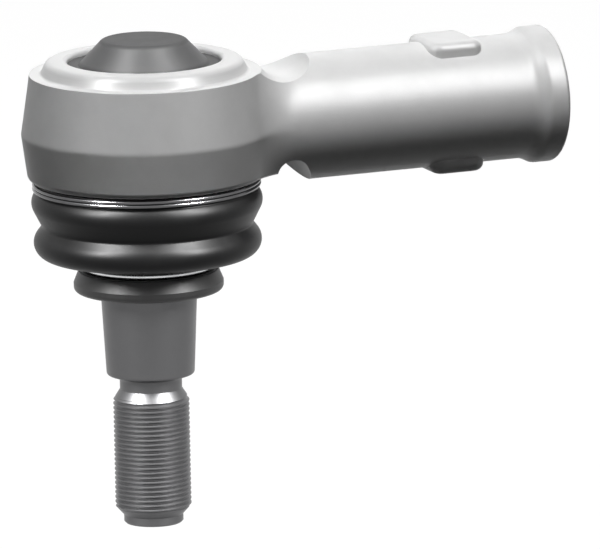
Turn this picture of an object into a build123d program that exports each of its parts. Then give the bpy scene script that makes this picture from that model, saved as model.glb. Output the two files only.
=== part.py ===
from build123d import *
from math import atan2, cos, degrees, radians, sin, sqrt, tan
import os

os.makedirs("parts", exist_ok=True)

# Tie rod ball joint with a threaded stem, in millimetres.
# The origin is on the stem's axis where its inner thread starts, the stem runs back
# along -X, and the stud hangs down -Z. Heights are counted from the ball's centre.

# fits
running = 0.05          # between faces that turn on each other
clear = 0.3             # between rubber and what moves in it
neck_clear = 0.8        # stud neck to the mouth at full swing

# ball and stud
ball_d = 40.0
ball_flat = 2.0         # cut off the top of the ball
swing = 20.0            # degrees to each side
neck_d = 23.0
flare_length = 10.0     # neck to seal land
land_length = 13.6      # seal land above the taper
cone_d = 30.4           # at the large end of the taper
cone_length = 26.9
cone_ratio = 10.0       # one in ten on the diameter
cone_round = 1.0
land_step = 0.35        # seal land stands out from the taper
relief_d = 19.6
relief_length = 4.6
relief_round = 2.2
thread_d = 24.0         # M24
thread_length = 34.0
run_in = 3.4
run_out = 2.9
pilot_d = 18.7
pilot_length = 2.7
pilot_edge = 0.6

# bearing shells
shell_wall = 6.4
shell_open_low = 7.6    # ball standing out below the lower shell
shell_open_high = 7.5   # ball standing out above the upper shell
shell_gap = 0.6
floor_wall = 2.05       # housing's floor under the lower shell

# pressure cup and spring
cup_thick = 2.5
cup_hollow = 0.6        # clearance over the ball
spring_wire = 2.8
spring_turns = 2.5
spring_seat = 1.25      # wire's edge from the cup's mouth
spring_in = 2.3         # top coil inside the dome's edge
spring_room = 0.53      # low coil to the dome's mouth

# end cover and its seal
cover_room = 3.65       # cup to the cover's seat
cover_lap = 3.3         # flange over the seat
flange_thick = 3.0
flange_bevel = 2.4      # room for the seal ring
cover_sheet = 2.5
dome_height = 7.9
dome_lean = 43.5        # its side from upright, degrees
dome_round = 2.2
seal_section = 1.4

# eye of the housing
face_rise = 0.3         # machined face above the cover's seat
lip_wall = 2.9
lip_over = 5.5          # rolled in over the flange
lip_thick = 1.8
lip_lean = 24.0         # its outside from upright, degrees
lip_fall = 0.4          # its top falls outwards
lip_foot = 1.0
lip_round = 2.6
lip_edge = 1.2          # round on its inner edge
face_width = 3.5        # flat ring outside the lip
draft_up = 8.7          # degrees
draft_down = 7.4
parting_round = 5.0
under_round = 2.0
spigot_wall = 6.5       # spigot outside the bearing bore
spigot_length = 4.3

# stem
stem_reach = 136.1      # ball's centre to the end face
stem_d = 39.7
blend = 22.0            # stem into the eye
cove_round = 10.2       # hollow turned round the eye, into the stem's top
cove_deep = 4.6         # below the machined face
cove_edge = 0.6         # outside the machined face
under_reach = 46.3      # hollow turned round the eye's underside, from the stud's axis
under_hollow = 5.0      # its radius
under_deep = 4.3        # above the underside face
under_lean = 25.0       # its outer wall from upright, degrees
socket_d = 30.0         # M30 internal thread
socket_depth = 62.6
socket_edge = 1.8
drill_angle = 59.0
collar_rise = 1.8
collar_length = 6.6
collar_slope = 3.6
collar_foot = 6.0       # hollow where the shoulder meets the stem
collar_round = 1.4
clamp_seat = 14.8       # between the lugs and the collar
lug_length = 18.0
lug_width = 22.6
lug_rise = 1.2
lug_corner = 4.0
lug_round = 2.6
slot_width = 3.0
slot_length = 24.6

# dust boot and its rings
boot_wall = 2.0
collar_wall = 1.75      # boot's top collar
collar_drop = 0.1       # below the housing's underside
fold_in = 3.4           # middle of the upper fold, inside the collar's outside
fold_two_in = 3.8       # middle of the lower fold
fold_one_drop = 7.4     # upper fold below the housing's underside
fold_one_r = 5.0
fold_one_lean = 27.0    # its underside from upright, degrees
fold_pitch = 12.7       # to the lower fold
fold_two_r = 4.9
fold_two_lean = 38.0
groove_r = 0.8
sleeve_drop = 8.8       # sleeve's end below the lower fold
sleeve_wall = 3.2
sleeve_run = 2.6
top_wire = 1.25
top_wire_pitch = 1.27
top_wire_turns = 2.0
top_wire_gap = 0.03     # above the upper fold
low_wire = 1.8
low_wire_rise = 1.0     # above the sleeve's end
seal_gap = 0.3
seal_height = 6.9
seal_top_d = 44.0
seal_d = 47.2
seal_flank = 3.0        # straight side above its lower edge
seal_round = 1.7

# what follows from them
ball_r = ball_d / 2
neck_r = neck_d / 2
cone_r = cone_d / 2
land_r = cone_r + land_step
lower_shell_depth = ball_r - shell_open_low
upper_shell_height = ball_r - shell_open_high
shell_r = ball_r + running + shell_wall
bore_r = shell_r + running
floor_z = -lower_shell_depth - running
under_face = floor_wall - floor_z
cup_z = upper_shell_height + running
cup_top = cup_z + cup_thick
cup_mouth_r = sqrt((ball_r + cup_hollow) ** 2 - cup_top ** 2)
cover_seat = cup_top + cover_room
recess_r = bore_r + cover_lap
flange_r = recess_r - running
flange_top = cover_seat + flange_thick
face_z = cover_seat + face_rise
lip_r = recess_r + lip_wall
lip_in_r = recess_r - lip_over
lip_top = flange_top + lip_thick
face_r = lip_r + face_width
eye_r = face_r + face_z * tan(radians(draft_up))
dome_top = flange_top + dome_height
stem_r = stem_d / 2
spigot_r = bore_r + spigot_wall
spigot_end = -under_face - spigot_length
fold_one_z = under_face + fold_one_drop
fold_two_z = fold_one_z + fold_pitch
sleeve_end = fold_two_z + sleeve_drop
cone_from = sleeve_end + seal_gap + seal_height
ball_x = socket_edge - stem_reach
stud_axis = Axis((ball_x, 0, 0), (0, 0, 1))
stem_axis = Axis((0, 0, 0), (1, 0, 0))

# half section through stud and stem: across is out from the stud's axis, up is +Z
half = Plane(origin=(ball_x, 0, 0), x_dir=(1, 0, 0), z_dir=(0, -1, 0))
# the same for the stem, counted from its end face
along = Plane(origin=(socket_edge, 0, 0), x_dir=(1, 0, 0), z_dir=(0, -1, 0))


def mouth_r(depth):
    """Opening that lets the neck swing, at a depth below the ball's centre."""
    return (neck_r + neck_clear) / cos(radians(swing)) + depth * tan(radians(swing))


# Housing: forged eye and stem, then the machined faces, bores and rolled lip
high = stem_r + 2 * lip_thick
low = under_face + stem_r

with BuildPart() as housing:
    # forged eye with draft both ways from the parting line, carried past the cuts
    with BuildSketch(half):
        with BuildLine():
            Polyline(
                (0, high),
                (eye_r - high * tan(radians(draft_up)), high),
                (eye_r, 0),
                (eye_r - low * tan(radians(draft_down)), -low),
                (0, -low),
                close=True,
            )
        make_face()
        ridge = vertices().sort_by_distance((eye_r, 0, 0))[0]
        fillet(ridge, parting_round)
    revolve(axis=stud_axis)

    # round stem, out to the end face
    with BuildSketch(Plane.YZ.offset(ball_x)):
        Circle(stem_r)
    extrude(amount=stem_reach)
    root = edges().filter_by(GeomType.BSPLINE)
    fillet(root, blend)

    # machined face, and the hollow round the eye that runs up into the stem's top
    chord = sqrt(cove_round ** 2 - (cove_round - cove_deep) ** 2)
    cove = (face_r + cove_edge + chord, face_z + cove_round - cove_deep)
    with BuildSketch(half):
        with Locations((0, face_z)):
            Rectangle(cove[0], high, align=(Align.MIN, Align.MIN))
        with Locations(cove):
            Circle(cove_round)
    revolve(axis=stud_axis, mode=Mode.SUBTRACT)

    # underside face, and the hollow outside it whose wall leans out into the stem
    hollow = (under_reach, -under_face + under_deep - under_hollow)
    wall_top = hollow[1] + under_hollow * sin(radians(under_lean))
    wall_from = under_reach + under_hollow * cos(radians(under_lean))
    with BuildSketch(half):
        Polygon(
            (0, -under_face),
            (under_reach, -under_face),
            (under_reach, wall_top),
            (wall_from, wall_top),
            (wall_from + (low + wall_top) * tan(radians(under_lean)), -low),
            (0, -low),
            align=None,
        )
        with Locations(hollow):
            Circle(under_hollow)
    revolve(axis=stud_axis, mode=Mode.SUBTRACT)

    # round on the eye's lower edge
    lower_edge = edges().sort_by_distance((ball_x - eye_r, 0, -under_face))[0]
    fillet(lower_edge, under_round)

    # rolled lip and boot spigot
    with BuildSketch(half):
        with BuildLine():
            lean_in = (lip_top - lip_fall - face_z) * tan(radians(lip_lean))
            Polyline(
                (recess_r - 1, face_z - 1),
                (lip_r + 2 * lip_foot, face_z - 1),
                (lip_r + 2 * lip_foot, face_z),
                (lip_r, face_z),
                (lip_r - lean_in, lip_top - lip_fall),
                (lip_in_r, lip_top),
                (lip_in_r, flange_top),
                (recess_r - 1, flange_top),
                close=True,
            )
        make_face()
        fillet(vertices().sort_by_distance((lip_r, face_z, 0))[0], lip_foot)
        fillet(vertices().sort_by_distance((lip_r - lean_in, lip_top - lip_fall, 0))[0], lip_round)
        fillet(vertices().sort_by_distance((lip_in_r, lip_top, 0))[0], lip_edge)
        with Locations((spigot_r - 8, -under_face + 1)):
            Rectangle(8, spigot_length + 1, align=(Align.MIN, Align.MAX))
    revolve(axis=stud_axis)

    # bearing bore, cover recess and swing mouth
    with BuildSketch(half):
        with BuildLine():
            Polyline(
                (0, flange_top),
                (recess_r, flange_top),
                (recess_r, cover_seat),
                (bore_r, cover_seat),
                (bore_r, floor_z),
                (mouth_r(-floor_z), floor_z),
                (mouth_r(-spigot_end + 1), spigot_end - 1),
                (0, spigot_end - 1),
                close=True,
            )
        make_face()
    revolve(axis=stud_axis, mode=Mode.SUBTRACT)

    # end collar with its sloped shoulder
    collar_r = stem_r + collar_rise
    with BuildSketch(along):
        with BuildLine():
            Polyline(
                (-collar_length - collar_slope, 0),
                (-collar_length - collar_slope, stem_r),
                (-collar_length, collar_r),
                (0, collar_r),
                (0, 0),
                close=True,
            )
        make_face()
        fillet(vertices().sort_by_distance((0, collar_r, 0))[0], collar_round)
        fillet(vertices().sort_by_distance((-collar_length, collar_r, 0))[0], 2 * collar_rise)
    revolve(axis=stem_axis)
    shoulder_x = socket_edge - collar_length - collar_slope
    foot = edges().filter_by(GeomType.CIRCLE).sort_by_distance((shoulder_x, 0, stem_r))[0]
    fillet(foot, collar_foot)

    # lugs above and below, next to the clamp seat
    lug_x = shoulder_x - clamp_seat - lug_length / 2
    for side in (1, -1):
        with BuildPart(mode=Mode.PRIVATE) as lug:
            with BuildSketch(Plane.XY.offset(side * stem_r / 2)):
                with Locations((lug_x, 0)):
                    RectangleRounded(lug_length, lug_width, lug_corner)
            extrude(amount=side * (stem_r / 2 + lug_rise))
            fillet(faces().sort_by(Axis.Z)[0 if side < 0 else -1].edges(), lug_round)
        add(lug.part)

    # threaded socket with its drill point and edge, and the clamping slot
    socket_r = socket_d / 2
    with BuildSketch(along):
        with BuildLine():
            Polyline(
                (0, 0),
                (0, socket_r + socket_edge),
                (-socket_edge, socket_r),
                (-socket_depth, socket_r),
                (-socket_depth - socket_r / tan(radians(drill_angle)), 0),
                close=True,
            )
        make_face()
    revolve(axis=stem_axis, mode=Mode.SUBTRACT)
    with BuildSketch(Plane.XY.offset(-socket_r / 2)):
        with Locations((socket_edge - slot_length + slot_width / 2, 0)):
            Circle(slot_width / 2)
            Rectangle(slot_length, slot_width, align=(Align.MIN, Align.CENTER))
    extrude(amount=-collar_r, mode=Mode.SUBTRACT)
housing.part.label = "housing"


# Ball stud: ball, neck flaring to the seal land, taper, relief, thread and pilot
land_z = -cone_from + land_length
flare_z = land_z + flare_length
taper_z = -cone_from - cone_length
small_r = cone_r - cone_length / cone_ratio / 2
relief_z = taper_z - relief_length
thread_z = relief_z - run_in
thread_end = thread_z - thread_length
pilot_z = thread_end - run_out
stud_end = pilot_z - pilot_length
relief_r = relief_d / 2
thread_r = thread_d / 2
pilot_r = pilot_d / 2
ball_top = ball_r - ball_flat

with BuildPart() as ball_stud:
    with BuildSketch(half):
        with BuildLine():
            rim = (sqrt(ball_r ** 2 - ball_top ** 2), ball_top)
            join = (neck_r, -sqrt(ball_r ** 2 - neck_r ** 2))
            flare_r = (flare_length ** 2 + (land_r - neck_r) ** 2) / (land_r - neck_r) / 2
            Line((0, ball_top), rim)
            ThreePointArc(rim, (ball_r, 0), join)
            Line(join, (neck_r, flare_z))
            flare = RadiusArc((neck_r, flare_z), (land_r, land_z), -flare_r)
            Polyline(
                (land_r, land_z),
                (land_r, -cone_from),
                (cone_r, -cone_from),
                (small_r, taper_z),
                (relief_r, taper_z),
                (relief_r, relief_z),
                (thread_r, thread_z),
                (thread_r, thread_end),
                (pilot_r, pilot_z),
                (pilot_r, stud_end),
                (0, stud_end),
                (0, ball_top),
            )
        make_face()
        fillet(vertices().sort_by_distance((small_r, taper_z, 0))[0], cone_round)
        fillet(vertices().sort_by_distance((relief_r, taper_z, 0))[0], relief_round)
        chamfer(vertices().sort_by_distance((pilot_r, stud_end, 0))[0], pilot_edge)
    revolve(axis=stud_axis)
ball_stud.part.label = "ball_stud"


# Bearing shells, split at the ball's equator
with BuildPart() as lower_bearing_shell:
    with BuildSketch(half):
        with Locations((0, -shell_gap / 2)):
            Rectangle(shell_r, lower_shell_depth - shell_gap / 2, align=(Align.MIN, Align.MAX))
        with BuildLine():
            Polyline(
                (0, 0),
                (mouth_r(0), 0),
                (mouth_r(lower_shell_depth + 1), -lower_shell_depth - 1),
                (0, -lower_shell_depth - 1),
                close=True,
            )
        make_face(mode=Mode.SUBTRACT)
        Circle(ball_r + running, mode=Mode.SUBTRACT)
        chamfer(vertices().sort_by_distance((shell_r, -lower_shell_depth, 0))[0], 4 * running)
    revolve(axis=stud_axis)
lower_bearing_shell.part.label = "lower_bearing_shell"

with BuildPart() as upper_bearing_shell:
    with BuildSketch(half):
        with Locations((0, shell_gap / 2)):
            Rectangle(shell_r, upper_shell_height - shell_gap / 2, align=(Align.MIN, Align.MIN))
        Circle(ball_r + running, mode=Mode.SUBTRACT)
    revolve(axis=stud_axis)
upper_bearing_shell.part.label = "upper_bearing_shell"


# Pressure cup on the upper shell, hollow over the ball
with BuildPart() as pressure_cup:
    with BuildSketch(half):
        with Locations((0, cup_z)):
            Rectangle(shell_r, cup_thick, align=(Align.MIN, Align.MIN))
        Circle(ball_r + cup_hollow, mode=Mode.SUBTRACT)
        fillet(vertices().sort_by_distance((shell_r, cup_top, 0))[0], cup_thick / 4)
    revolve(axis=stud_axis)
pressure_cup.part.label = "pressure_cup"


# End cover: flat flange with a pressed dome
wall_shift = cover_sheet / cos(radians(dome_lean))
ceiling = dome_top - cover_sheet
wire_r = spring_wire / 2
coil_r = cup_mouth_r + spring_seat
hole_r = coil_r + wire_r + spring_room
dome_base_r = hole_r + wall_shift
dome_top_r = dome_base_r - dome_height * tan(radians(dome_lean))

with BuildPart() as end_cover:
    with BuildSketch(half):
        with BuildLine():
            Polyline(
                (0, ceiling),
                (hole_r - (ceiling - flange_top) * tan(radians(dome_lean)), ceiling),
                (hole_r, flange_top),
                (hole_r, cover_seat),
                (flange_r - flange_bevel, cover_seat),
                (flange_r, cover_seat + flange_bevel),
                (flange_r, flange_top),
                (dome_base_r, flange_top),
                (dome_top_r, dome_top),
                (0, dome_top),
                close=True,
            )
        make_face()
        fillet(vertices().sort_by_distance((dome_top_r, dome_top, 0))[0], dome_round)
        fillet(vertices().sort_by_distance((hole_r, flange_top, 0))[0], cover_sheet / 3)
    revolve(axis=stud_axis)
end_cover.part.label = "end_cover"

# Seal ring in the corner under the flange's bevel
with BuildPart() as cover_seal_ring:
    with BuildSketch(half):
        with Locations((recess_r - seal_section / 2, cover_seat + seal_section / 2)):
            Circle(seal_section / 2)
    revolve(axis=stud_axis)
cover_seal_ring.part.label = "cover_seal_ring"


# Conical spring between the cup and the dome
coil_low = cup_top + wire_r
coil_high = ceiling - wire_r
coil_top_r = dome_top_r - spring_in
coil_rise = coil_high - coil_low
lean = degrees(atan2(coil_top_r - coil_r, coil_rise))

with BuildPart() as compression_spring:
    with BuildLine(Plane((ball_x, 0, coil_low))) as coil:
        Helix(pitch=coil_rise / spring_turns, height=coil_rise, radius=coil_r, cone_angle=lean)
    with BuildSketch(Plane(origin=coil.line @ 0, z_dir=coil.line % 0)):
        Circle(wire_r)
    sweep(path=coil.line)
compression_spring.part.label = "compression_spring"


# Dust boot: top collar on the spigot, two folds, sleeve on the stud's land
boot_top = -under_face - collar_drop
collar_out = spigot_r + collar_wall
fold_r = collar_out - fold_in
sleeve_r = land_r + clear
one = (fold_r, -fold_one_z)
two = (collar_out - fold_two_in, -fold_two_z)
lean_one = radians(fold_one_lean)
lean_two = radians(fold_two_lean)
under_one = (fold_r + fold_one_r * cos(lean_one), one[1] - fold_one_r * sin(lean_one))
over_two = (two[0] + fold_two_r * cos(lean_two), two[1] + fold_two_r * sin(lean_two))
notch_z = (under_one[0] - over_two[0] - under_one[1] * tan(lean_one) - over_two[1] * tan(lean_two))
notch_z = -notch_z / (tan(lean_one) + tan(lean_two))
notch = (under_one[0] - (under_one[1] - notch_z) * tan(lean_one), notch_z)

with BuildPart() as dust_boot:
    with BuildSketch(half) as skin:
        with Locations((0, boot_top)):
            Rectangle(collar_out, boot_top - one[1], align=(Align.MIN, Align.MAX))
        with Locations(one):
            Circle(fold_one_r)
        with Locations(two):
            Circle(fold_two_r)
        Polygon((0, one[1]), one, under_one, notch, over_two, two, (0, two[1]), align=None)
        fillet(vertices().sort_by_distance((*notch, 0))[0], groove_r)
        Polygon(
            (0, two[1]),
            two,
            (two[0] - 0.17 * fold_two_r, two[1] - 0.985 * fold_two_r),
            (sleeve_r + sleeve_wall + sleeve_run, -sleeve_end + sleeve_run + 0.9),
            (sleeve_r + sleeve_wall, -sleeve_end + sleeve_run - 0.9),
            (sleeve_r + sleeve_wall, -sleeve_end),
            (0, -sleeve_end),
            align=None,
        )
    revolve(axis=stud_axis)
    with BuildSketch(half):
        offset(skin.sketch_local, amount=-boot_wall)
        with Locations((0, boot_top + 1)):
            Rectangle(spigot_r, boot_top + 1 - one[1], align=(Align.MIN, Align.MAX))
            Rectangle(sleeve_r, sleeve_end + boot_top + 2, align=(Align.MIN, Align.MAX))
    revolve(axis=stud_axis, mode=Mode.SUBTRACT)
dust_boot.part.label = "dust_boot"


# Two-turn wire ring round the boot's top collar
top_ring_r = collar_out + top_wire / 2
ring_reach = fold_one_r + top_wire / 2 + top_wire_gap
top_ring_z = -fold_one_z + sqrt(ring_reach ** 2 - (top_ring_r - fold_r) ** 2)

with BuildPart() as boot_upper_ring:
    with BuildLine(Plane((ball_x, 0, top_ring_z))) as turns:
        Helix(pitch=top_wire_pitch, height=top_wire_pitch * top_wire_turns, radius=top_ring_r)
    with BuildSketch(Plane(origin=turns.line @ 0, z_dir=turns.line % 0)):
        Circle(top_wire / 2)
    sweep(path=turns.line)
boot_upper_ring.part.label = "boot_upper_ring"

# Wire ring round the boot's sleeve
low_ring_r = sleeve_r + sleeve_wall + clear + low_wire / 2
low_ring_z = -sleeve_end + low_wire_rise

with BuildPart() as boot_lower_ring:
    with BuildSketch(half):
        with Locations((low_ring_r, low_ring_z)):
            Circle(low_wire / 2)
    revolve(axis=stud_axis)
boot_lower_ring.part.label = "boot_lower_ring"

# Sealing lip below it, round the stud's land
seal_top = -sleeve_end - seal_gap
seal_in = land_r + running

with BuildPart() as boot_lip_collar:
    with BuildSketch(half):
        with BuildLine():
            Polyline(
                (seal_in, seal_top),
                (seal_top_d / 2, seal_top),
                (seal_d / 2, -cone_from + seal_flank),
                (seal_d / 2, -cone_from),
                (seal_in, -cone_from),
                close=True,
            )
        make_face()
        fillet(vertices().sort_by_distance((seal_d / 2, -cone_from, 0))[0], seal_round)
        fillet(vertices().sort_by_distance((seal_top_d / 2, seal_top, 0))[0], seal_round / 4)
    revolve(axis=stud_axis)
boot_lip_collar.part.label = "boot_lip_collar"


pieces = [
    housing,
    end_cover,
    cover_seal_ring,
    compression_spring,
    pressure_cup,
    upper_bearing_shell,
    lower_bearing_shell,
    ball_stud,
    dust_boot,
    boot_upper_ring,
    boot_lower_ring,
    boot_lip_collar,
]
for piece in pieces:
    export_step(piece.part, f"parts/{piece.part.label}.step")
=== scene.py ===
import math

import bmesh
import bpy
from mathutils import Matrix, Vector


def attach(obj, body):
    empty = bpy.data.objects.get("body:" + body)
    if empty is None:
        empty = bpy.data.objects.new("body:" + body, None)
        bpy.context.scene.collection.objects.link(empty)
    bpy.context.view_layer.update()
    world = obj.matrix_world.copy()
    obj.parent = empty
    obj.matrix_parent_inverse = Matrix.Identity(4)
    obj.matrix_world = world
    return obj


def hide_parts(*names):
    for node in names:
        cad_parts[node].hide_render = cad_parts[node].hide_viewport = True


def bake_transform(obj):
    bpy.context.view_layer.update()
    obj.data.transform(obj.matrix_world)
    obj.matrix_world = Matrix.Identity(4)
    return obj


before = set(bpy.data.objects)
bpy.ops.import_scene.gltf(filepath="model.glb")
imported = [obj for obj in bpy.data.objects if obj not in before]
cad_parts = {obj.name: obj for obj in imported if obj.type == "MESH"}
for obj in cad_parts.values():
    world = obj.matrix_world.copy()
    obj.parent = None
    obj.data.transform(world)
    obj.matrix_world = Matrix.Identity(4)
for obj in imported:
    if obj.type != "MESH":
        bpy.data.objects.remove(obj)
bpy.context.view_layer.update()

ballX = -0.1343  # the stud's axis; heights are counted from the ball's centre


# a socket that can be added, multiplied and compared, each time with a Math node
class Value:
    def __init__(self, finish, socket):
        self.finish = finish
        self.socket = socket

    def math(self, operation, first, second):
        return self.finish.math(operation, first, second)

    def __add__(self, other):
        return self.math("ADD", self, other)

    def __radd__(self, other):
        return self.math("ADD", other, self)

    def __sub__(self, other):
        return self.math("SUBTRACT", self, other)

    def __rsub__(self, other):
        return self.math("SUBTRACT", other, self)

    def __mul__(self, other):
        return self.math("MULTIPLY", self, other)

    def __rmul__(self, other):
        return self.math("MULTIPLY", other, self)

    def __gt__(self, other):
        return self.math("GREATER_THAN", self, other)

    def __lt__(self, other):
        return self.math("LESS_THAN", self, other)


# the node tree of one finish, or of the world
class Finish:
    def __init__(self, holder):
        self.holder = holder
        holder.use_nodes = True
        self.tree = holder.node_tree
        self.shader = self.tree.nodes[0]
        for node in self.tree.nodes:
            if node.type in ("BSDF_PRINCIPLED", "BACKGROUND"):
                self.shader = node

    # any node: its settings first, then what its sockets are given
    def node(self, kind, settings=None, inputs=None, output=0):
        made = self.tree.nodes.new(kind)
        for key, setting in (settings or {}).items():
            setattr(made, key, setting)
        for key, given in (inputs or {}).items():
            self.feed(made.inputs[key], given)
        return Value(self, made.outputs[output])

    def feed(self, socket, given):
        if isinstance(given, Value):
            self.tree.links.new(given.socket, socket)
        elif socket.type == "RGBA" and len(given) == 3:
            socket.default_value = (*given, 1.0)
        else:
            socket.default_value = given

    def out(self, value, output):
        return Value(self, value.socket.node.outputs[output])

    # object coordinates, centred on the stud's axis
    def spot(self, scale=(1, 1, 1)):
        coordinates = self.node("ShaderNodeTexCoord", output="Object")
        return self.node("ShaderNodeMapping", {},
                         {"Vector": coordinates, "Location": (-ballX * scale[0], 0, 0), "Scale": scale})

    def parts(self, vector):
        split = self.node("ShaderNodeSeparateXYZ", {}, {0: vector})
        return self.out(split, 0), self.out(split, 1), self.out(split, 2)

    def math(self, operation, first, second):
        return self.node("ShaderNodeMath", {"operation": operation}, {0: first, 1: second})

    def either(self, first, second):
        return self.math("MAXIMUM", first, second)

    def reach(self, first, second):
        pair = self.node("ShaderNodeCombineXYZ", {}, {0: first, 1: second})
        return self.node("ShaderNodeVectorMath", {"operation": "LENGTH"}, {0: pair}, output="Value")

    def noise(self, vector, size, detail=3.0):
        return self.node("ShaderNodeTexNoise", {},
                         {"Vector": vector, "Scale": 1 / size, "Detail": detail, "Roughness": 0.55})

    def between(self, low, high, value):
        return self.node("ShaderNodeMapRange", {"interpolation_type": "SMOOTHSTEP"},
                         {"Value": value, "From Min": low, "From Max": high})

    # large soft patches: their size, and where the noise starts and ends to count
    def patches(self, vector, size, low, high, detail=4.0):
        return self.between(low, high, self.noise(vector, size, detail))

    def tint(self, factor, first, second):
        return self.node("ShaderNodeMix", {"data_type": "RGBA"}, {0: factor, 6: first, 7: second}, output=2)

    # a colour that goes to a shade of itself
    def shades(self, factor, colour, shade):
        return self.tint(factor, colour, shaded(colour, shade))

    # fine lathe marks: one noise read along a single distance
    def lathe(self, distance, size, detail=2.0):
        line = self.node("ShaderNodeCombineXYZ", {}, {0: distance * (1 / size)})
        return self.node("ShaderNodeTexNoise", {}, {"Vector": line, "Scale": 1.0, "Detail": detail})

    # a value that wavers about its middle, by a share of each noise
    def waver(self, middle, *noises):
        total = middle - sum(share for noise, share in noises) / 2
        for noise, share in noises:
            total = noise * share + total
        return total

    def bump(self, height, strength, depth, under=None):
        made = self.node("ShaderNodeBump", {}, {"Height": height, "Strength": strength, "Distance": depth})
        if under:
            self.feed(made.socket.node.inputs["Normal"], under)
        return made

    def set(self, settings):
        for key, given in settings.items():
            self.feed(self.shader.inputs[key], given)
        return self.holder


def newFinish(name):
    return Finish(bpy.data.materials.new(name))


def shaded(colour, factor):
    return tuple(c * factor for c in colour)


# half section in millimetres, drawn point by point and arc by arc, then turned round the stud
class Section:
    def __init__(self, across, up):
        self.bm = bmesh.new()
        self.tip = self.bm.verts.new(self.place(across, up))
        self.start = self.tip

    def place(self, across, up):
        return Vector((ballX + across / 1000, 0, up / 1000))

    def line(self, *points):
        for across, up in points:
            point = self.bm.verts.new(self.place(across, up))
            self.bm.edges.new((self.tip, point))
            self.tip = point
        return self

    # clockwise is positive, with up at the top and the axis at the left
    def arc(self, centre, degrees, steps):
        made = bmesh.ops.spin(self.bm, geom=[self.tip], cent=self.place(*centre), axis=(0, 1, 0),
                              angle=math.radians(degrees), steps=steps, use_duplicate=False)
        self.tip = [g for g in made["geom_last"] if isinstance(g, bmesh.types.BMVert)][0]
        return self

    def close(self):
        self.bm.edges.new((self.tip, self.start))
        return self

    def turn(self, steps):
        bmesh.ops.spin(self.bm, geom=self.bm.verts[:] + self.bm.edges[:], cent=(ballX, 0, 0),
                       axis=(0, 0, 1), angle=2 * math.pi, steps=steps, use_merge=True, use_duplicate=False)
        bmesh.ops.remove_doubles(self.bm, verts=self.bm.verts[:], dist=2e-6)
        bmesh.ops.dissolve_degenerate(self.bm, dist=1e-7, edges=self.bm.edges[:])
        bmesh.ops.recalc_face_normals(self.bm, faces=self.bm.faces[:])
        return self.bm


def makePiece(name, bm, material, sharp):
    mesh = bpy.data.meshes.new(name)
    bm.to_mesh(mesh)
    bm.free()
    mesh.shade_smooth()
    mesh.set_sharp_from_angle(angle=math.radians(sharp))
    mesh.materials.append(material)
    piece = bpy.data.objects.new(name, mesh)
    bpy.context.scene.collection.objects.link(piece)
    return piece


def dress(node, material):
    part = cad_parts[node]
    part.data.materials.clear()
    part.data.materials.append(material)


# In the finishes' settings, sizes and heights are in metres. Relief is a bump's strength and
# depth, a share is how far a noise moves the roughness, patches are size, start and end.

# housing: shot-blasted forging, turned faces and rolled lip
forging = {
    "colour": (0.72, 0.72, 0.72), "clouds": (0.3, 0.75), "clouded": 0.95,
    "turned": (0.73, 0.73, 0.73), "marked": 0.93, "shine": 0.17,
    "rough": 0.42, "blastShare": 0.07, "swirlShare": 0.05,
    "turnedRough": 0.36, "markShare": 0.10,
    "blastSize": 0.00055, "blastRelief": (0.5, 0.00004), "swirlSize": 0.009,
    "markSize": 0.00022, "markRelief": (0.25, 0.00001),
    "faceZ": 0.0188, "faceR": 0.0363,  # machined top and lip
    "underZ": -0.0144, "underR": 0.0352,  # machined underside
    "endX": 0.0011, "endR": 0.0225,  # end face of the stem
    "boreX": 0.06, "boreR": 0.0163,  # inside of the stem, from the stud's axis on
}


def forgedSteel(look):
    f = newFinish("forgedSteel")
    seen = f.spot()
    x, y, z = f.parts(seen)
    fromStud = f.reach(x, y)
    fromStem = f.reach(y, z)
    face = (z > look["faceZ"]) * (fromStud < look["faceR"])
    under = (z < look["underZ"]) * (fromStud < look["underR"])
    end = (x > look["endX"] - ballX) * (fromStem < look["endR"])
    bore = (x > look["boreX"]) * (fromStem < look["boreR"])
    turned = f.either(f.either(face, under), f.either(end, bore))
    blast = f.noise(seen, look["blastSize"])
    swirl = f.noise(seen, look["swirlSize"])
    marks = f.lathe(f.tint(bore, f.tint(end, fromStud, fromStem), x), look["markSize"])
    skin = f.shades(f.between(*look["clouds"], swirl), look["colour"], look["clouded"])
    cut = f.shades(marks, look["turned"], look["marked"])
    rough = f.waver(look["rough"], (blast, look["blastShare"]), (swirl, look["swirlShare"]))
    cutRough = f.waver(look["turnedRough"], (marks, look["markShare"]))
    raised = f.bump(blast * (1 - turned), *look["blastRelief"])
    raised = f.bump(marks * turned, *look["markRelief"], raised)
    return f.set({"Base Color": f.tint(turned, skin, cut), "Normal": raised,
                  "Roughness": rough + turned * (cutRough - rough), "Specular IOR Level": look["shine"]})


# ball stud: polished ball, ground taper, rolled thread
studLook = {
    "colour": (0.125, 0.125, 0.128), "stained": 0.9, "metal": 0.75,
    "ball": (0.42, 0.42, 0.43), "ballZ": (-0.034, -0.030), "ballSmoother": 0.14,
    "rough": 0.415, "groundShare": 0.08, "grainShare": 0.06, "stainShare": 0.05,
    "groundSize": 0.0002, "groundRelief": (0.2, 0.000008),
    "grainSize": 0.0007, "grainRelief": (0.3, 0.000015), "stains": (0.011, 0.35, 0.8),
}


def studSteel(look):
    f = newFinish("studSteel")
    seen = f.spot()
    bright = f.between(*look["ballZ"], f.parts(seen)[2])
    ground = f.lathe(f.parts(seen)[2], look["groundSize"], 3.0)
    grain = f.noise(seen, look["grainSize"])
    stain = f.patches(seen, *look["stains"])
    oil = f.shades(stain, look["colour"], look["stained"])
    rough = f.waver(look["rough"], (ground, look["groundShare"]), (grain, look["grainShare"]),
                    (stain, look["stainShare"]))
    raised = f.bump(grain, *look["grainRelief"])
    return f.set({"Base Color": f.tint(bright, oil, look["ball"]), "Metallic": look["metal"],
                  "Roughness": rough - bright * look["ballSmoother"],
                  "Normal": f.bump(ground * (1 - bright), *look["groundRelief"], raised)})


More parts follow.
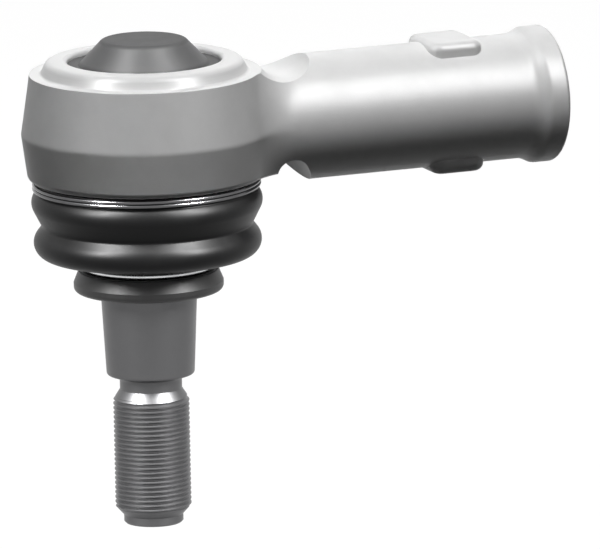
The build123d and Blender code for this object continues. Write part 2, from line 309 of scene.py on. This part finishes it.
# end cover: dark phosphate over pressed sheet, with painted shade in its recess and on its top
coverLook = {
    "colour": (0.102, 0.102, 0.104), "clouded": 0.88, "shine": 0.2,
    # painted shade: the colour below sideZ and above topZ is painted darker by these factors
    "oiled": 0.5, "shadeCloud": 0.85, "sideZ": (0.0219, 0.0232), "topZ": (0.0284, 0.0294), "topShade": 0.8,
    "rough": 0.475, "topRougher": 0.26, "grainShare": 0.10, "cloudShare": 0.05,
    "grainSize": 0.0006, "grainRelief": (0.35, 0.00002), "clouds": (0.012, 0.3, 0.75),
}


def coverCoat(look):
    f = newFinish("coverCoat")
    seen = f.spot()
    up = f.parts(seen)[2]
    grain = f.noise(seen, look["grainSize"], 4.0)
    cloud = f.patches(seen, *look["clouds"])
    top = f.between(*look["topZ"], up)
    # painted shade: the recess below the side and the top take the darker colour
    side = f.between(*look["sideZ"], up) * (1 - top * look["topShade"])
    coat = f.shades(cloud, look["colour"], look["clouded"])
    recess = f.shades(cloud, shaded(look["colour"], look["oiled"]), look["shadeCloud"])
    rough = f.waver(look["rough"], (grain, look["grainShare"]), (cloud, look["cloudShare"]))
    return f.set({"Base Color": f.tint(side, recess, coat), "Roughness": rough + top * look["topRougher"],
                  "Specular IOR Level": look["shine"], "Normal": f.bump(grain, *look["grainRelief"])})


# spring wire: drawn bright, and a darker copy on the boot's upper ring, its dark colour a painted shade
wireLook = {
    "bright": {"colour": (0.62, 0.63, 0.64), "worn": 0.8, "rough": 0.28},
    # painted shade: the upper ring's wire is the same spring wire made dark
    "oiled": {"colour": (0.11, 0.11, 0.113), "worn": 0.7, "rough": 0.24},
    "drawnSize": 0.0005, "drawnRelief": (0.2, 0.00001), "drawnShare": 0.10,
    "wear": (0.006, 0.4, 0.75), "wearShare": 0.08,
}


def drawnWire(look, kind):
    own = look[kind]
    f = newFinish(kind + "Wire")
    seen = f.spot()
    drawn = f.noise(seen, look["drawnSize"])
    wear = f.patches(seen, *look["wear"], 3.0)
    rough = f.waver(own["rough"], (drawn, look["drawnShare"]), (wear, look["wearShare"]))
    return f.set({"Base Color": f.shades(wear, own["colour"], own["worn"]), "Roughness": rough,
                  "Metallic": 1.0, "Normal": f.bump(drawn, *look["drawnRelief"])})


# rubber of the boot, its lip and the cover's seal
rubberLook = {
    "boot": {"colour": (0.009, 0.009, 0.0095), "rough": 0.435, "shine": 0.15},
    # the lip's paler colour is partly its own tone, partly painted light for the boot's shade over it
    "lip": {"colour": (0.085, 0.085, 0.086), "rough": 0.495, "shine": 0.45},
    "bloomed": 1.5, "bloom": (0.010, 0.4, 0.8), "bloomShare": 0.07,
    "grainSize": 0.0005, "grainRelief": (0.3, 0.00002), "grainShare": 0.10,
}


def mouldedRubber(look, kind):
    own = look[kind]
    f = newFinish(kind + "Rubber")
    seen = f.spot()
    grain = f.noise(seen, look["grainSize"])
    bloom = f.patches(seen, *look["bloom"])
    rough = f.waver(own["rough"], (grain, look["grainShare"]), (bloom, look["bloomShare"]))
    return f.set({"Base Color": f.shades(bloom, own["colour"], look["bloomed"]), "Roughness": rough,
                  "Specular IOR Level": own["shine"], "Normal": f.bump(grain, *look["grainRelief"])})


# bearing shells: glass-filled plastic, seen only through the swing mouth
plasticLook = {
    "colour": (0.74, 0.71, 0.62), "streaked": 0.9, "rough": 0.43, "grainShare": 0.12,
    "grainSize": 0.0008, "grainRelief": (0.3, 0.00002), "streaks": (90, 90, 400),
}


def bearingPlastic(look):
    f = newFinish("bearingPlastic")
    seen = f.spot()
    grain = f.noise(seen, look["grainSize"])
    flow = f.noise(f.spot(look["streaks"]), 1.0)
    return f.set({"Base Color": f.shades(flow, look["colour"], look["streaked"]),
                  "Roughness": f.waver(look["rough"], (grain, look["grainShare"])),
                  "Normal": f.bump(grain, *look["grainRelief"])})


steel = forgedSteel(forging)
stud = studSteel(studLook)
wire = drawnWire(wireLook, "bright")
bootRubber = mouldedRubber(rubberLook, "boot")
lipRubber = mouldedRubber(rubberLook, "lip")
plastic = bearingPlastic(plasticLook)
dress("housing", steel)
dress("end_cover", coverCoat(coverLook))
dress("pressure_cup", stud)
dress("boot_upper_ring", drawnWire(wireLook, "oiled"))
dress("boot_lower_ring", wire)
dress("compression_spring", wire)
dress("boot_lip_collar", lipRubber)
dress("cover_seal_ring", lipRubber)
dress("upper_bearing_shell", plastic)
dress("lower_bearing_shell", plastic)
print("finishes made and CAD nodes dressed")


# dust boot: collar on the spigot, two folds, sleeve on the stud's land
boot = {
    "top": -14.6, "spigot": 33.0, "collar": 34.75, "wall": 2.0, "bevel": 0.4,
    "one": 31.35, "oneZ": -21.9, "oneR": 5.0, "oneLean": 27.0,
    "two": 30.95, "twoZ": -34.6, "twoR": 4.9, "twoLean": 38.0, "twoUnder": 99.0,
    "notch": (33.13, -29.42), "notchR": 0.8,
    "sleeveIn": 15.85, "sleeve": 19.05, "end": -43.4,
    "flare": ((3.8, 3.7), (1.17, 2.8), (0, 1.5), (0, 0.4), (-0.4, 0)),  # out from sleeve, up from end
    "seat": ((0, 0), (0, 2.0), (1.2, 2.6), (1.4, 4.0), (5.8, 5.4)),  # out from sleeveIn, up from end
    "twoFoot": (-0.16, -0.987), "steps": 180, "bendFrom": -0.0186, "bendTo": -0.0425,
}


def makeBoot(b):
    lean1, lean2 = math.radians(b["oneLean"]), math.radians(b["twoLean"])
    half = (lean1 + lean2) / 2
    across, up = b["notch"]
    cut = b["notchR"] * math.tan(half)
    into = (across + cut * math.sin(lean1), up + cut * math.cos(lean1))
    middle = (into[0] + b["notchR"] * math.cos(lean1), into[1] - b["notchR"] * math.sin(lean1))
    reach = b["wall"] / math.cos(half)
    tilt = (lean2 - lean1) / 2
    inner = (across - reach * math.cos(tilt), up - reach * math.sin(tilt))
    one, two = (b["one"], b["oneZ"]), (b["two"], b["twoZ"])
    r1, r2 = b["oneR"] - b["wall"], b["twoR"] - b["wall"]
    outer1 = math.acos((b["collar"] - b["one"]) / b["oneR"])
    inner1 = math.degrees(math.acos((b["spigot"] - b["one"]) / r1))
    s = Section(b["spigot"], b["top"])
    s.line((b["collar"] - b["bevel"], b["top"]), (b["collar"], b["top"] - b["bevel"]),
           (b["collar"], b["oneZ"] + b["oneR"] * math.sin(outer1)))
    s.arc(one, math.degrees(outer1) + b["oneLean"], 22)
    s.line(into).arc(middle, -math.degrees(2 * half), 8)
    s.line((two[0] + b["twoR"] * math.cos(lean2), two[1] + b["twoR"] * math.sin(lean2)))
    s.arc(two, b["twoLean"] + b["twoUnder"], 34)
    s.line(*((b["sleeve"] + out, b["end"] + rise) for out, rise in b["flare"]))
    s.line(*((b["sleeveIn"] + out, b["end"] + rise) for out, rise in b["seat"]))
    s.line((two[0] + b["twoFoot"][0] * r2, two[1] + b["twoFoot"][1] * r2))
    s.arc(two, -b["twoLean"] - b["twoUnder"], 24)
    s.line(inner, (one[0] + r1 * math.cos(lean1), one[1] - r1 * math.sin(lean1)))
    s.arc(one, -b["oneLean"] - inner1, 16)
    return s.close().turn(b["steps"])


bellows = makePiece("bellows", makeBoot(boot), bootRubber, 50)
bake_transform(bellows)
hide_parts("dust_boot")
print("boot made, faces", len(bellows.data.polygons))


# ball stud, with the thread that the CAD leaves plain
studSizes = {
    "ball": 20.0, "ballTop": 18.0, "neck": 11.5, "flareZ": -27.0, "flareR": 14.37, "land": 15.55,
    "landZ": -37.0, "cone": 15.2, "coneZ": -50.6, "small": 13.855, "taperZ": -77.5, "relief": 9.8,
    "reliefRound": 2.2, "reliefZ": -82.1, "threadZ": -85.5, "threadEnd": -119.5,
    "pilotZ": -122.4, "pilot": 9.35, "end": -125.1, "bevel": 0.6, "steps": 128,
    "footStart": (0.048, 0.95), "footCentre": (-0.951, 1.0),  # rounded foot, from the taper's small end
}
studThread = {"crest": 12.0, "root": 11.3, "pitch": 1.5, "crestWidth": 0.25, "rootWidth": 1.25,
              "sunk": 0.2, "skirt": 0.1, "overrun": 0.9, "steps": 60}


def makeStud(b, t):
    rim = math.acos(b["ballTop"] / b["ball"])
    join = math.degrees(math.acos(b["neck"] / b["ball"]))
    flare = math.degrees(math.asin((b["flareZ"] - b["landZ"]) / b["flareR"]))
    runIn = (b["reliefZ"] - b["threadZ"]) / (t["crest"] - b["relief"])
    runOut = (b["threadEnd"] - b["pilotZ"]) / (t["crest"] - b["pilot"])
    lean = math.degrees(math.atan2(b["cone"] - b["small"], b["coneZ"] - b["taperZ"]))
    s = Section(0, b["ballTop"])
    s.line((b["ball"] * math.sin(rim), b["ballTop"]))
    s.arc((0, 0), 90 - math.degrees(rim) + join, 40)
    s.line((b["neck"], b["flareZ"])).arc((b["neck"] + b["flareR"], b["flareZ"]), -flare, 14)
    s.line((b["land"], b["coneZ"]), (b["cone"], b["coneZ"]))
    s.line((b["small"] + b["footStart"][0], b["taperZ"] + b["footStart"][1]))
    s.arc((b["small"] + b["footCentre"][0], b["taperZ"] + b["footCentre"][1]), 90 - lean, 6)
    s.line((b["relief"] + b["reliefRound"], b["taperZ"]))
    s.arc((b["relief"] + b["reliefRound"], b["taperZ"] - b["reliefRound"]), -90, 10)
    s.line((b["relief"], b["reliefZ"]), (t["root"], b["reliefZ"] - (t["root"] - b["relief"]) * runIn))
    s.line((t["root"], b["threadEnd"] - (t["crest"] - t["root"]) * runOut), (b["pilot"], b["pilotZ"]))
    s.line((b["pilot"], b["end"] + b["bevel"]), (b["pilot"] - b["bevel"], b["end"]), (0, b["end"]))
    return s.turn(b["steps"])


# a screw ridge: its section is spun and moved along, and its two ends are closed
def screwRidge(axis, centre, corners, pitch, turns, steps):
    bm = bmesh.new()
    points = [bm.verts.new(corner) for corner in corners]
    for place, point in enumerate(points):
        bm.edges.new((point, points[place - 1]))
    step = Vector(axis) * (pitch / 1000 / steps)
    bmesh.ops.spin(bm, geom=bm.verts[:] + bm.edges[:], cent=centre, axis=axis, dvec=step,
                   angle=2 * math.pi * turns, steps=round(turns * steps), use_duplicate=False)
    bmesh.ops.remove_doubles(bm, verts=bm.verts[:], dist=1e-7)
    bmesh.ops.holes_fill(bm, edges=[e for e in bm.edges if e.is_boundary], sides=4)
    bmesh.ops.recalc_face_normals(bm, faces=bm.faces[:])
    return bm


# the stud's ridge, held inside the chamfers at both ends
def makeStudThread(b, t):
    start = b["threadEnd"] - t["overrun"]
    wide, thin = t["rootWidth"] / 2 + t["skirt"], t["crestWidth"] / 2
    low = t["root"] - t["sunk"]
    corners = [Vector((ballX + across / 1000, 0, (start + up) / 1000)) for across, up in
               ((low, -wide), (t["crest"], -thin), (t["crest"], thin), (low, wide))]
    turns = (b["threadZ"] + t["overrun"] - start) / t["pitch"]
    bm = screwRidge((0, 0, 1), (ballX, 0, 0), corners, t["pitch"], turns, t["steps"])
    runIn = (t["crest"] - b["relief"]) / (b["reliefZ"] - b["threadZ"])
    runOut = (t["crest"] - b["pilot"]) / (b["threadEnd"] - b["pilotZ"])
    for v in bm.verts:
        up = v.co.z * 1000
        most = min(t["crest"], b["relief"] + (b["reliefZ"] - up) * runIn,
                   b["pilot"] + (up - b["pilotZ"]) * runOut)
        reach = math.hypot(v.co.x - ballX, v.co.y) * 1000
        if reach > most:
            v.co.x = ballX + (v.co.x - ballX) * most / reach
            v.co.y *= most / reach
    return bm


studBody = makePiece("studBody", makeStud(studSizes, studThread), stud, 25)
studScrew = makePiece("studThread", makeStudThread(studSizes, studThread), stud, 25)
for piece in (studBody, studScrew):
    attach(piece, "stud")
    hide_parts("ball_stud")
print("stud made, thread faces", len(studScrew.data.polygons))


# thread inside the stem, open at the clamping slot and chamfered at the end face
stemThread = {"major": 15.04, "minor": 14.1, "pitch": 1.5, "crestWidth": 0.3, "rootWidth": 1.3,
              "steps": 56, "from": -59.5, "to": 0.3, "chamfer": 15.0,
              "slot": 0.0015, "slotEnd": -0.0235, "slotReach": 0.004}


def makeStemThread(t):
    wide, thin = t["rootWidth"] / 2, t["crestWidth"] / 2
    corners = [Vector(((t["from"] + along) / 1000, 0, up / 1000)) for up, along in
               ((t["major"], -wide), (t["minor"], -thin), (t["minor"], thin), (t["major"], wide))]
    turns = (t["to"] - t["from"]) / t["pitch"]
    bm = screwRidge((1, 0, 0), (0, 0, 0), corners, t["pitch"], turns, t["steps"])

    def nearSlot(reach):
        middles = [(face, face.calc_center_median()) for face in bm.faces]
        return [face for face, at in middles if at.x > t["slotEnd"] and at.z < 0 and abs(at.y) < reach]

    for side in (1, -1):
        near = nearSlot(t["slotReach"])
        parts = set(near) | {e for f in near for e in f.edges} | {v for f in near for v in f.verts}
        bmesh.ops.bisect_plane(bm, geom=list(parts), plane_co=(0, side * t["slot"], 0), plane_no=(0, 1, 0))
    bmesh.ops.delete(bm, geom=nearSlot(t["slot"]), context="FACES")
    bmesh.ops.holes_fill(bm, edges=[e for e in bm.edges if e.is_boundary], sides=4)
    for v in bm.verts:
        least = t["chamfer"] + v.co.x * 1000
        reach = math.hypot(v.co.y, v.co.z) * 1000
        if reach < least:
            v.co.y *= least / reach
            v.co.z *= least / reach
    return bm


stemScrew = makePiece("stemThread", makeStemThread(stemThread), steel, 25)
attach(stemScrew, "housing")
print("stem thread made, faces", len(stemScrew.data.polygons))

# plain pale floor, white where the camera sees it, with the object's shadow
floorLook = {"z": -0.235, "size": 16.0, "white": 0.90, "glow": 1.06,
             "pale": (0.9, 0.9, 0.9), "bounce": (0.012, 0.012, 0.012)}


# 1 where the camera, a mirror or a clear piece looks at it
def seenRays(f):
    rays = f.node("ShaderNodeLightPath")
    return f.out(rays, "Is Camera Ray") + f.out(rays, "Is Glossy Ray") + f.out(rays, "Is Transmission Ray")


def floorCover(look):
    f = newFinish("floorCover")
    seen = seenRays(f)
    glow = f.node("ShaderNodeEmission", {}, {"Color": (1.0, 1.0, 1.0), "Strength": look["glow"]})
    lit = f.node("ShaderNodeBsdfDiffuse", {}, {"Color": look["pale"]})
    pale = f.node("ShaderNodeMixShader", {}, {0: look["white"], 1: lit, 2: glow})
    dull = f.node("ShaderNodeBsdfDiffuse", {}, {"Color": look["bounce"]})
    top = f.node("ShaderNodeMixShader", {}, {0: seen, 1: dull, 2: pale})
    under = f.out(f.node("ShaderNodeNewGeometry"), "Backfacing")
    clear = f.node("ShaderNodeBsdfTransparent")
    whole = f.node("ShaderNodeMixShader", {}, {0: under, 1: top, 2: clear})
    f.feed(f.tree.nodes["Material Output"].inputs["Surface"], whole)
    return f.holder


bm = bmesh.new()
bmesh.ops.create_grid(bm, x_segments=1, y_segments=1, size=floorLook["size"] / 2)
bmesh.ops.translate(bm, verts=bm.verts[:], vec=(ballX, 0, floorLook["z"]))
mesh = bpy.data.meshes.new("floor")
bm.to_mesh(mesh)
bm.free()
mesh.materials.append(floorCover(floorLook))
floor = bpy.data.objects.new("floor", mesh)
bpy.context.scene.collection.objects.link(floor)

skyLook = {"plain": 0.02, "shown": 1.0}
world = bpy.data.worlds.new("studio")
bpy.context.scene.world = world
sky = Finish(world)
sky.set({"Color": (1.0, 1.0, 1.0),
         "Strength": seenRays(sky) * (skyLook["shown"] - skyLook["plain"]) + skyLook["plain"]})
print("floor and sky made")

# soft boxes shade the forms, strips draw the highlights; degrees, metres and watts
lampCentre = Vector((ballX + 0.04, 0, -0.02))
lampDistance = 1.5
lamps = {
    "softFront": {"azimuth": -18, "elevation": 68, "size": (0.6, 0.6), "power": 20.5, "soft": True},
    "softBack": {"azimuth": 160, "elevation": 42, "size": (0.6, 0.6), "power": 8.0, "soft": True},
    "stripLeft": {"azimuth": -75, "elevation": 44, "size": (0.2, 1.1), "power": 140.0, "soft": False},
    "stripRight": {"azimuth": 31, "elevation": 44, "size": (0.2, 1.1), "power": 140.0, "soft": False},
}


def aim(thing, centre, azimuth, elevation, distance):
    a, e = math.radians(azimuth), math.radians(elevation)
    back = Vector((math.sin(a) * math.cos(e), -math.cos(a) * math.cos(e), math.sin(e)))
    thing.location = centre + back * distance
    thing.rotation_mode = "QUATERNION"
    thing.rotation_quaternion = (-back).to_track_quat("-Z", "Y")
    bpy.context.scene.collection.objects.link(thing)


for name, lamp in lamps.items():
    data = bpy.data.lights.new(name, "AREA")
    data.shape = "RECTANGLE"
    data.size, data.size_y = lamp["size"]
    data.energy = lamp["power"]
    light = bpy.data.objects.new(name, data)
    light.visible_glossy = not lamp["soft"]
    light.visible_diffuse = lamp["soft"]
    aim(light, lampCentre, lamp["azimuth"], lamp["elevation"], lampDistance)

# the photo's view: degrees, millimetres of lens, picture points per millimetre, the ball's place in it
photo = {"azimuth": -22.0, "elevation": 11.5, "roll": 1.16, "lens": 1300.0, "sensor": 36.0,
         "perMm": 3.1875, "ballU": 145.5, "ballV": 131.5, "width": 600, "height": 549}
data = bpy.data.cameras.new("camera")
camera = bpy.data.objects.new("camera", data)
data.lens = photo["lens"]
data.sensor_width = photo["sensor"]
data.clip_start = 0.1
data.clip_end = 60.0
aim(camera, Vector((0, 0, 0)), photo["azimuth"], photo["elevation"], 0)
camera.rotation_quaternion @= Matrix.Rotation(math.radians(-photo["roll"]), 3, "Z").to_quaternion()
turn = camera.rotation_quaternion.to_matrix()
perMetre = photo["perMm"] * 1000
across = (photo["width"] / 2 - photo["ballU"]) / perMetre
down = (photo["height"] / 2 - photo["ballV"]) / perMetre
back = photo["width"] / perMetre * photo["lens"] / photo["sensor"]
camera.location = Vector((ballX, 0, 0)) + turn.col[0] * across - turn.col[1] * down + turn.col[2] * back
bpy.context.scene.camera = camera
bpy.context.scene.view_settings.view_transform = "Standard"
print("lamps and camera set")
